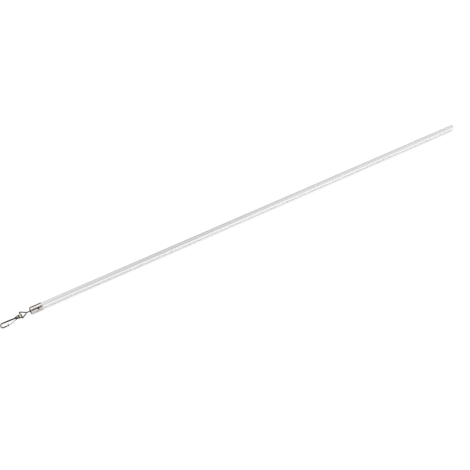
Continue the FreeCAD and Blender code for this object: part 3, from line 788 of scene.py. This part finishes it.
def dress_node(node_name, material):
    """Gives a CAD node its finish."""
    slots = frame["nodes"][node_name].material_slots
    if not slots:
        raise RuntimeError(f"{node_name} has no slot for its finish")
    for slot in slots:
        slot.material = material


def acrylic_colour(tree, finish):
    """Drifting tint with painted shade: greyer near the cup, greyer on the upper flats (the film), and dark
    lines along the upper edges.
    """
    tint = place_group(
        tree,
        colour_drift_group(),
        Main=opaque(finish.tint),
        Other=opaque(finish.second_tint),
        Scale=ROD_DRIFT,
    )
    along = along_mask_group()
    edge_lines = (finish.edge_start, finish.edge_full)
    lines_along = (finish.edge_fade, EDGE_LINES_FULL)
    cup_end = axis_mask(tree, along, CUP_END, ROD_AXIS, GREY_CUP_END)
    upper_flats = axis_mask(tree, along, CUP_END, SHADE_SIDE, SHADE_ACROSS)
    past_cup = axis_mask(tree, along, CUP_END, ROD_AXIS, SHADE_ALONG)
    edges = axis_mask(tree, round_mask_group(), CUP_END, ROD_AXIS, edge_lines)
    near_cup = axis_mask(tree, along, CUP_END, ROD_AXIS, lines_along)
    upper_edges = axis_mask(tree, along, CUP_END, SHADE_SIDE, UPPER_EDGES)
    # Painted shade near the cup, standing in for the darker floor seen through the rod.
    colour = add_mark(tree, tint.outputs["Color"], finish.cup_end_shade, [cup_end])
    # Painted shade on the upper flats, standing in for the shadow seen through the rod.
    colour = add_mark(tree, colour, finish.upper_shade_tint, [upper_flats, past_cup])
    # Painted shade: dark lines along the upper edges near the cup, standing in for refraction lines.
    return add_mark(tree, colour, finish.edge_shade_tint, [edges, near_cup, upper_edges])


def roughen_and_light_sawn_end(tree, shader, finish, clean_roughness):
    """Roughens the free end where the saw cut it, and makes it glow with painted light, an emission though
    it is no lamp.
    """
    sawn_end = axis_mask(tree, along_mask_group(), CUP_END, ROD_AXIS, SAWN_END)
    roughened = add_node(tree, "ShaderNodeMath", operation="MULTIPLY_ADD")
    roughened.inputs[1].default_value = finish.sawn_roughness
    tree.links.new(sawn_end, roughened.inputs[0])
    tree.links.new(clean_roughness, roughened.inputs[2])
    tree.links.new(roughened.outputs["Value"], shader.inputs["Roughness"])
    # Painted light: an emission makes the sawn end glow.
    frosted = add_node(tree, "ShaderNodeMix", data_type="RGBA")
    frosted.inputs["A"].default_value = BLACK
    frosted.inputs["B"].default_value = opaque(finish.sawn_end_glow)
    tree.links.new(sawn_end, frosted.inputs["Factor"])
    tree.links.new(frosted.outputs["Result"], shader.inputs["Emission Color"])
    shader.inputs["Emission Strength"].default_value = 1.0


def clear_acrylic(finish):
    """Clear extruded acrylic with faint die lines, finger haze and a sawn, frosted free end that glows with
    painted light.
    """
    material, tree, shader = new_material("clear_acrylic_rod")
    haze = place_group(
        tree,
        handling_haze_group(),
        Scale=ROD_HAZE,
        Clean=finish.roughness,
        Hazy=finish.roughness * ROD_HAZE_ROUGHENS,
    )
    lines = place_group(tree, drawn_lines_group(), Stretch=ROD_LINES)
    tree.links.new(acrylic_colour(tree, finish), shader.inputs["Base Color"])
    roughen_and_light_sawn_end(tree, shader, finish, haze.outputs["Roughness"])
    add_bump(tree, shader, lines.outputs["Height"], finish.die_line_depth)
    shader.inputs["Transmission Weight"].default_value = finish.clearness
    shader.inputs["IOR"].default_value = finish.refraction
    return material


def plated_metal(name, colour, worn_colour, graze_colour, roughness, stretch, marks=()):
    """Plate or steel with drawing lines, handling haze, rubbed edges and marks: (colour, list of masks)."""
    material, tree, shader = new_material(name)
    drift = place_group(
        tree,
        colour_drift_group(),
        Main=opaque(colour),
        Other=opaque([channel * DULL_PATCHES for channel in colour]),
        Scale=METAL_DRIFT,
    )
    haze = place_group(
        tree,
        handling_haze_group(),
        Scale=METAL_HAZE,
        Clean=roughness,
        Hazy=roughness * METAL_HAZE_ROUGHENS,
    )
    wear = place_group(tree, edge_wear_group(), Scale=METAL_WEAR)
    lines = place_group(tree, drawn_lines_group(), Stretch=stretch)
    surface = add_mark(tree, drift.outputs["Color"], worn_colour, [wear.outputs["Mask"]])
    for mark_colour, places in marks:
        surface = add_mark(tree, surface, mark_colour, [axis_mask(tree, *place) for place in places])
    tree.links.new(surface, shader.inputs["Base Color"])
    tree.links.new(haze.outputs["Roughness"], shader.inputs["Roughness"])
    add_bump(tree, shader, lines.outputs["Height"], METAL_LINE_DEPTH)
    shader.inputs["Metallic"].default_value = 1.0
    shader.inputs["Specular Tint"].default_value = opaque(graze_colour)
    return material


def dark_plate(name, colour, rubbed, finish, stretch, marks=()):
    """Dark plate of the wires and the strap, lighter by the share rubbed along worn edges."""
    return plated_metal(
        name,
        colour,
        lighter(colour, rubbed),
        finish.graze_colour,
        finish.roughness,
        stretch,
        marks,
    )


class WAND_OT_dress_rod(bpy.types.Operator):
    """Finish the hexagonal rod as clear acrylic"""

    bl_idname = "wand.dress_rod"
    bl_label = "Dress rod"

    def execute(self, context):
        dress_node("rod", clear_acrylic(context.scene.wand.acrylic))
        return {"FINISHED"}


class WAND_OT_dress_cup(bpy.types.Operator):
    """Finish the staked cup as bright nickel"""

    bl_idname = "wand.dress_cup"
    bl_label = "Dress cup"

    def execute(self, context):
        finish = context.scene.wand.cup
        in_stakes = (round_mask_group(), CUP_END, ROD_AXIS, STAKE_FLOORS)
        past_end_wall = (along_mask_group(), CUP_END, ROD_AXIS, PAST_END_WALL)
        round_neck = (round_mask_group(), CUP_END, ROD_AXIS, NECK_SHADE_AND_GRIME)
        nickel = plated_metal(
            "cup_bright_nickel",
            finish.colour,
            finish.worn_colour,
            finish.graze_colour,
            finish.roughness,
            CUP_LINES,
            # Painted shade with grime in the stakes and round the neck.
            [(finish.grime_and_shade_colour, [in_stakes, past_end_wall]), (finish.grime_and_shade_colour, [round_neck])],
        )
        dress_node("ferrule", nickel)
        return {"FINISHED"}


class WAND_OT_dress_eye(bpy.types.Operator):
    """Finish the swivelling eye as dark plated wire"""

    bl_idname = "wand.dress_eye"
    bl_label = "Dress eye"

    def execute(self, context):
        finish = context.scene.wand.wire
        wire = dark_plate("eye_plated_wire", finish.eye_colour, RUBBED_WIRE, finish, EYE_LINES)
        dress_node("swivel_eye", wire)
        return {"FINISHED"}


class WAND_OT_dress_hook(bpy.types.Operator):
    """Finish the strap and the hook as dark plated sheet and wire, with highlights painted at the fold and
    the bow
    """

    bl_idname = "wand.dress_hook"
    bl_label = "Dress hook"

    def execute(self, context):
        finish = context.scene.wand.wire
        past_fold = (along_mask_group(), KNUCKLE, -ROD_AXIS, PAST_FOLD)
        near_fold = (along_mask_group(), KNUCKLE, -ROD_AXIS, NEAR_FOLD)
        bow = (along_mask_group(), KNUCKLE, -ROD_AXIS, BOW)
        strap = dark_plate(
            "strap_plated_sheet",
            finish.strap_colour,
            RUBBED_STRAP,
            finish,
            STRAP_LINES,
            # Painted highlight: a bright band on the strap beside the fold.
            [(finish.rivet_and_highlight_colour, [past_fold, near_fold])],
        )
        hook = dark_plate(
            "hook_plated_wire",
            finish.hook_colour,
            RUBBED_WIRE,
            finish,
            HOOK_LINES,
            # Painted highlight: the hook's bow is lighter.
            [(lighter(finish.hook_colour, BOW_HIGHLIGHT), [bow])],
        )
        dress_node("hook_strap", strap)
        dress_node("hook_wire", hook)
        return {"FINISHED"}


class WAND_OT_dress_gate(bpy.types.Operator):
    """Finish the gate as dark spring wire and its rivet as bright steel"""

    bl_idname = "wand.dress_gate"
    bl_label = "Dress gate and rivet"

    def execute(self, context):
        finish = context.scene.wand.wire
        gate = dark_plate("gate_spring_steel", finish.gate_colour, RUBBED_WIRE, finish, GATE_LINES)
        rivet = plated_metal(
            "rivet_bright_steel",
            finish.rivet_and_highlight_colour,
            lighter(finish.rivet_and_highlight_colour, RUBBED_RIVET),
            finish.rivet_and_highlight_colour,
            finish.rivet_roughness,
            RIVET_LINES,
        )
        dress_node("spring_gate", gate)
        dress_node("gate_rivet", rivet)
        return {"FINISHED"}


def seen_directly(tree):
    """The kinds of ray, and 1 for what the camera, a reflection or a look through the acrylic sees.

    For light that falls on a surface the second is 0.
    """
    path = add_node(tree, "ShaderNodeLightPath")
    looks = combine(tree, "MAXIMUM", path.outputs["Is Camera Ray"], path.outputs["Is Glossy Ray"])
    looks = combine(tree, "MAXIMUM", looks, path.outputs["Is Transmission Ray"])
    before_floor = add_node(tree, "ShaderNodeMath", operation="LESS_THAN")
    before_floor.inputs[1].default_value = NO_BOUNCE_YET
    tree.links.new(path.outputs["Diffuse Depth"], before_floor.inputs[0])
    return path, combine(tree, "MULTIPLY", looks, before_floor.outputs["Value"])


def lay_floor(setting):
    """A wide floor that is white to the camera and still takes the wand's shadow."""
    mesh = bpy.data.meshes.new("floor")
    near = -FLOOR_REACH
    far = FLOOR_REACH
    corners = [(near, near, 0.0), (far, near, 0.0), (far, far, 0.0), (near, far, 0.0)]
    mesh.from_pydata(corners, [], [(0, 1, 2, 3)])
    floor = bpy.data.objects.new("floor", mesh)
    bpy.context.scene.collection.objects.link(floor)
    material, tree, shader = new_material("floor_paper")
    shader.inputs["Base Color"].default_value = opaque(setting.floor_colour)
    shader.inputs["Roughness"].default_value = 1.0
    shader.inputs["Specular IOR Level"].default_value = 0.0
    shader.inputs["Emission Color"].default_value = WHITE
    path, seen = seen_directly(tree)
    outside = pick(tree, path.outputs["Is Camera Ray"], setting.floor_lift_reflected, setting.floor_lift)
    lift = pick(tree, path.outputs["Is Transmission Ray"], 0.0, setting.floor_lift_inside)
    tree.links.new(outside.outputs["Result"], lift.inputs["To Min"])
    strength = combine(tree, "MULTIPLY", seen, lift.outputs["Result"])
    tree.links.new(strength, shader.inputs["Emission Strength"])
    mesh.materials.append(material)


def away_from_camera(tree, directions, setting):
    """1 in most of the room and 0 in the part behind the camera."""
    towards = add_node(tree, "ShaderNodeVectorMath", operation="DOT_PRODUCT")
    towards.inputs[1].default_value = Vector(setting.camera_offset).normalized()
    tree.links.new(directions, towards.inputs[0])
    return add_ramp(tree, towards.outputs["Value"], *AWAY_FROM_CAMERA)


def back_of_room(tree, directions):
    """1 low at the back of the room, except at its right, and 0 elsewhere."""
    parts = add_node(tree, "ShaderNodeSeparateXYZ")
    tree.links.new(directions, parts.inputs["Vector"])
    backward = add_ramp(tree, parts.outputs["Y"], *ROOM_BACK)
    low = add_ramp(tree, parts.outputs["Z"], *ROOM_LOW)
    not_right = add_ramp(tree, parts.outputs["X"], *ROOM_NOT_RIGHT)
    behind = combine(tree, "MULTIPLY", backward, low)
    return combine(tree, "MULTIPLY", behind, not_right)


def light_room(setting):
    """White all round, but dim behind the camera and low at the back, for the metal and acrylic to show."""
    world = bpy.data.worlds.new("studio")
    world.use_nodes = True
    bpy.context.scene.world = world
    tree = world.node_tree
    link = tree.links.new
    path, seen = seen_directly(tree)
    through = path.outputs["Is Transmission Ray"]
    directions = add_node(tree, "ShaderNodeTexCoord").outputs["Generated"]

    # Even light that falls on surfaces, less of it through the acrylic.
    even = tree.nodes["Background"]
    even.inputs["Strength"].default_value = setting.ambient
    shade = pick(tree, through, 1.0, setting.light_through)
    link(shade.outputs["Result"], even.inputs["Color"])

    # The room as the metal and the acrylic show it, plain white to the camera.
    camera_side = combine(tree, "MAXIMUM", away_from_camera(tree, directions, setting), through)
    change = pick(tree, through, setting.back_dimness - 1.0, setting.back_dimness_inside - 1.0)
    back = add_node(tree, "ShaderNodeMath", operation="MULTIPLY_ADD")
    back.inputs[2].default_value = 1.0
    link(back_of_room(tree, directions), back.inputs[0])
    link(change.outputs["Result"], back.inputs[1])
    brightness = combine(tree, "MULTIPLY", camera_side, back.outputs["Value"])
    brightness = combine(tree, "MAXIMUM", brightness, path.outputs["Is Camera Ray"])
    colour = add_node(tree, "ShaderNodeMix", data_type="RGBA")
    colour.inputs["A"].default_value = opaque(setting.dim_colour)
    colour.inputs["B"].default_value = WHITE
    link(brightness, colour.inputs["Factor"])
    room = add_node(tree, "ShaderNodeBackground")
    room.inputs["Strength"].default_value = 1.0
    link(colour.outputs["Result"], room.inputs["Color"])

    chosen = add_node(tree, "ShaderNodeMixShader")
    link(seen, chosen.inputs["Fac"])
    link(even.outputs["Background"], chosen.inputs[1])
    link(room.outputs["Background"], chosen.inputs[2])
    link(chosen.outputs["Shader"], tree.nodes["World Output"].inputs["Surface"])


def hang_softbox(setting):
    """One large softbox over the wand."""
    light = bpy.data.lights.new("softbox", "AREA")
    light.shape = "RECTANGLE"
    light.size = setting.softbox_length
    light.size_y = setting.softbox_width
    light.energy = setting.softbox_power
    lamp = bpy.data.objects.new("softbox", light)
    lamp.location = setting.softbox_place
    lamp.rotation_mode = "QUATERNION"
    lamp.rotation_quaternion = (-lamp.location).to_track_quat("-Z", "Y")
    lamp.visible_glossy = False
    lamp.visible_transmission = False
    bpy.context.scene.collection.objects.link(lamp)


def set_camera(setting):
    """The camera, placed from the cup's closed end."""
    data = bpy.data.cameras.new("camera")
    data.lens = setting.lens
    data.sensor_width = SENSOR_WIDTH
    data.clip_start = CLIP_START
    data.clip_end = CLIP_END
    camera = bpy.data.objects.new("camera", data)
    camera.location = CUP_END + Vector(setting.camera_offset)
    azimuth = setting.camera_azimuth
    elevation = setting.camera_elevation
    level = math.cos(elevation)
    forward = Vector((-math.sin(azimuth) * level, math.cos(azimuth) * level, -math.sin(elevation)))
    camera.rotation_mode = "QUATERNION"
    camera.rotation_quaternion = forward.to_track_quat("-Z", "Y")
    bpy.context.scene.collection.objects.link(camera)
    bpy.context.scene.camera = camera


class WAND_OT_set_stage(bpy.types.Operator):
    """Lay the floor, light the room and set the camera"""

    bl_idname = "wand.set_stage"
    bl_label = "Set stage"

    def execute(self, context):
        setting = context.scene.wand.stage
        context.scene.view_settings.view_transform = "Standard"
        lay_floor(setting)
        light_room(setting)
        hang_softbox(setting)
        set_camera(setting)
        return {"FINISHED"}


class WAND_PT_sidebar(bpy.types.Panel):
    """Finishes and stage of the curtain wand"""

    bl_idname = "WAND_PT_sidebar"
    bl_label = "Curtain Wand"
    bl_space_type = "VIEW_3D"
    bl_region_type = "UI"
    bl_category = "Wand"

    def draw(self, context):
        look = context.scene.wand
        for title, group, operators in (
            ("Rod", look.acrylic, ("wand.dress_rod",)),
            ("Cup", look.cup, ("wand.dress_cup",)),
            ("Eye and hook", look.wire, ("wand.dress_eye", "wand.dress_hook", "wand.dress_gate")),
            ("Stage", look.stage, ("wand.set_stage",)),
        ):
            box = self.layout.box()
            box.label(text=title)
            for name in group.__annotations__:
                box.prop(group, name)
            for operator in operators:
                box.operator(operator)


CLASSES = (
    AcrylicFinish,
    CupFinish,
    WireFinish,
    StageSetting,
    WandLook,
    WAND_OT_dress_rod,
    WAND_OT_dress_cup,
    WAND_OT_dress_eye,
    WAND_OT_dress_hook,
    WAND_OT_dress_gate,
    WAND_OT_set_stage,
    WAND_PT_sidebar,
)


def register():
    for cls in CLASSES:
        bpy.utils.register_class(cls)
    bpy.types.Scene.wand = bpy.props.PointerProperty(type=WandLook)


def unregister():
    del bpy.types.Scene.wand
    for cls in reversed(CLASSES):
        bpy.utils.unregister_class(cls)


def main():
    register()
    bpy.ops.wand.dress_rod()
    bpy.ops.wand.dress_cup()
    bpy.ops.wand.dress_eye()
    bpy.ops.wand.dress_hook()
    bpy.ops.wand.dress_gate()
    bpy.ops.wand.set_stage()


if __name__ == "__main__":
    main()
